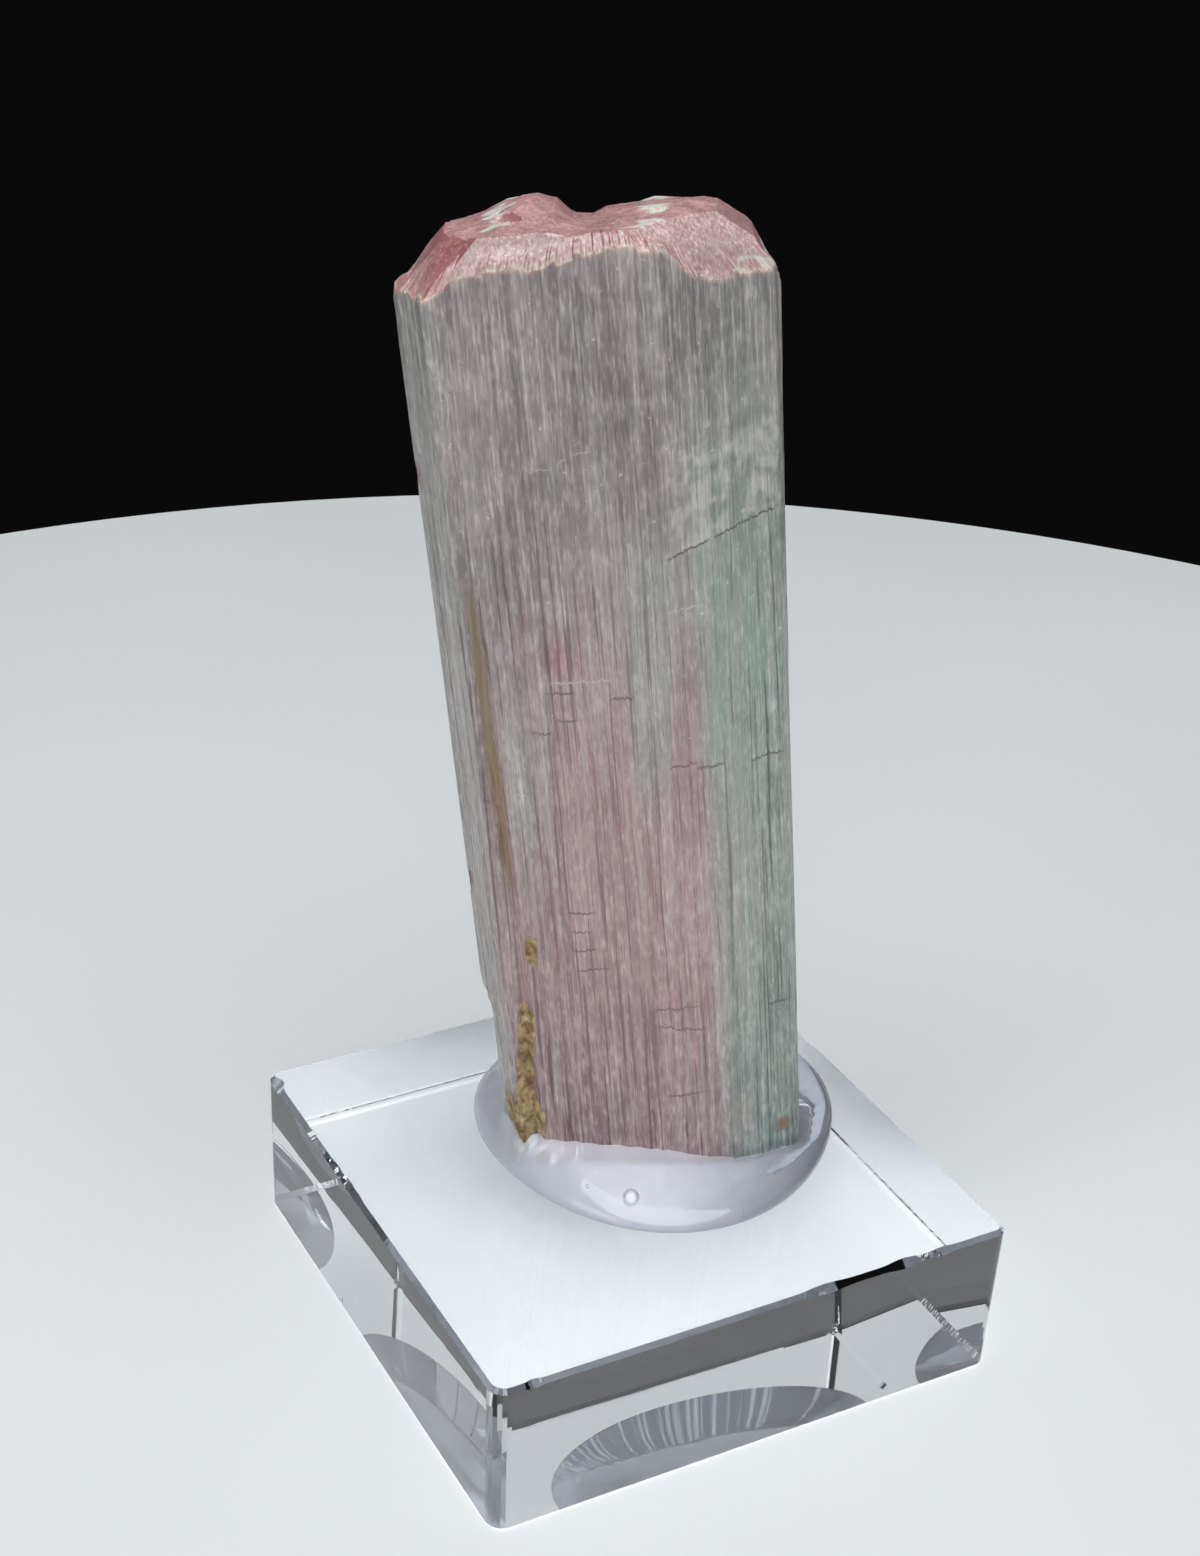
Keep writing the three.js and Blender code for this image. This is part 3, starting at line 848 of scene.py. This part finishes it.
glue_finish, start = new_finish("hot glue")
glue_place = start.node("ShaderNodeTexCoord", out="Object")
glue_cloud = glue_place.noise(420.0, 1.0)
glue_tone = glue_cloud.between(colour(232, 237, 250), colour(244, 247, 253))
glue_wave = glue_place.noise(600.0, 1.0)
glue_bump = start.node("ShaderNodeBump", {}, {"Strength": 0.08, "Distance": 0.1 * MM, "Height": glue_wave})
rightward = glue_place.toward(PICTURE_RIGHT)
milky = rightward.rise(0.012, 0.0) * 0.36 + glue_cloud * 0.08 + 0.08
glue_clear = start.node("ShaderNodeBsdfPrincipled", {}, {
    "Base Color": glue_tone,
    "Roughness": 0.03,
    "IOR": GLUE_IOR,
    "Transmission Weight": 1.0,
    "Normal": glue_bump,
})
glue_milk = start.node("ShaderNodeBsdfPrincipled", {}, {
    "Base Color": glue_tone,
    "Roughness": 0.06,
    "IOR": GLUE_IOR,
    "Normal": glue_bump,
})
glue_body = start.node("ShaderNodeMixShader", {}, {0: milky, 1: glue_clear, 2: glue_milk})
show(glue_body)
glue.data.materials.append(glue_finish)
glue.visible_shadow = False
print("glue finish ready")

# %% [markdown]
# ## The block
# The block is sawn from clear sheet and polished, with a narrow bevel round its top and bottom edges. Its
# edges have taken knocks. The mesh is a stack of outlines, from the underside's bevel to the top's. Each
# side has many points, so that chips and small waves can be pushed into the edges.

# %% Make the block's mesh
BEVEL = 0.25
SIDE_POINTS = 150
CORNER_POINTS = 7
NEAR_CORNER = 1.0
OTHER_CORNER = 0.7
UNDERCUT = 0.5
BLOCK_TALL = BLOCK_TOP / MM
half = block_high.x / MM
LEVELS = [
    (0.0, BEVEL), (BEVEL, 0.0), (3.2, 0.0),
    (6.4, 0.0), (BLOCK_TALL - BEVEL, 0.0), (BLOCK_TALL, BEVEL),
]
CORNERS = [(1, 1, OTHER_CORNER), (-1, 1, OTHER_CORNER), (-1, -1, NEAR_CORNER), (1, -1, OTHER_CORNER)]


def block_outline(inset):
    """The square's outline, moved in by the inset, with the same number of points at any inset."""
    corner_paths = []
    for index, (x, y, radius) in enumerate(CORNERS):
        middle = np.array([x, y]) * (half - radius)
        turn = np.linspace(index, index + 1, CORNER_POINTS) * math.pi / 2
        corner_paths.append(middle + (radius - inset) * np.stack([np.cos(turn), np.sin(turn)], axis=1))
    outline = []
    for index, path in enumerate(corner_paths):
        following = corner_paths[(index + 1) % 4][0]
        between = np.linspace(path[-1], following, SIDE_POINTS + 2)[1:-1]
        outline.extend([path, between])
    return np.concatenate(outline)


CHIPS = [
    ("front", 2.4, 0.9, 0.05), ("front", 3.7, 1.2, 0.08),
    ("front", 5.4, 0.9, 0.05), ("front", 14.6, 1.0, 0.25),
    ("left", 11.6, 1.0, 0.08), ("left", 9.0, 1.5, 0.14), ("left", 4.0, 2.0, 0.12), ("left", -13.6, 0.6, 0.1),
    ("right", -6.0, 1.2, 0.1), ("back", 5.0, 1.3, 0.1),
]
SIDES = {"front": (1, -1), "left": (0, -1), "right": (0, 1), "back": (1, 1)}

outlines = []
for height, inset in LEVELS:
    outline = block_outline(inset)
    ring = np.column_stack([outline, np.full(len(outline), height)])
    depth = max(0.0, 1 - height / (BLOCK_TALL - BEVEL))
    ring[:, 0] -= UNDERCUT * depth * (ring[:, 0] > 0) * ring[:, 0] / half
    outlines.append(ring)
outlines = np.array(outlines)
whole = block_outline(0.0)

edge_jitter = dice.uniform(-1, 1, (2, len(whole)))
for low_edge, high_edge, sign, wear in ((1, 0, 1, 0.012), (4, 5, -1, 0.006)):
    outlines[low_edge, :, 2] += sign * wear * edge_jitter[0]
    outlines[high_edge, :, :2] *= (1 - wear / half * (1 + edge_jitter[1]))[:, None]
for side, place, half_length, bite in CHIPS:
    along, outward = SIDES[side]
    on_side = np.sign(whole[:, 1 - along]) == outward
    on_side &= np.abs(whole[:, 1 - along]) > half - 0.9
    distance = np.abs(whole[:, along] - place) / half_length
    broken = bite * (0.5 + 0.5 * np.cos(math.pi * np.clip(distance, 0, 1))) * on_side
    outlines[4, :, 2] -= broken * 1.1
    outlines[5, :, 1 - along] -= outward * broken * 1.2
per_level = len(whole)
block_points = [tuple(p) for p in (outlines * MM).reshape(-1, 3)]
block_faces = []
for step in range(len(LEVELS) - 1):
    for index in range(per_level):
        beside = (index + 1) % per_level
        low = step * per_level
        block_faces.append((low + index, low + beside, low + per_level + beside, low + per_level + index))
block_faces.append(tuple(range(per_level))[::-1])
block_faces.append(tuple(range((len(LEVELS) - 1) * per_level, len(LEVELS) * per_level)))
block = new_piece("block", block_points, block_faces, smooth=False)
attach(block, "root")
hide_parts("acrylic_base")
print("block faces", len(block_faces))

# %% [markdown]
# ## The block's finish
# Acrylic is clear, with an index of refraction of 1.49. Handling leaves fine scratches and a few dull
# smears, which change its roughness, tone and surface a little.

# %% Colour the block
ACRYLIC_IOR = 1.49

block_finish, start = new_finish("clear acrylic")
block_place = start.node("ShaderNodeTexCoord", out="Object")
smears = block_place.noise(180.0, 2.0, 0.6)
waves = block_place.noise(90.0, 1.0)
block_bump = start.node("ShaderNodeBump", {}, {"Strength": 0.06, "Distance": 0.2 * MM, "Height": waves})
block_body = start.node("ShaderNodeBsdfPrincipled", {}, {
    "Base Color": smears.between(colour(250, 251, 252), colour(244, 246, 248)),
    "Roughness": smears.rise(0.5, 0.8) * 0.05,
    "IOR": ACRYLIC_IOR,
    "Transmission Weight": 1.0,
    "Normal": block_bump,
})
show(block_body)
block.data.materials.append(block_finish)
block.visible_shadow = False
print("block finish ready")
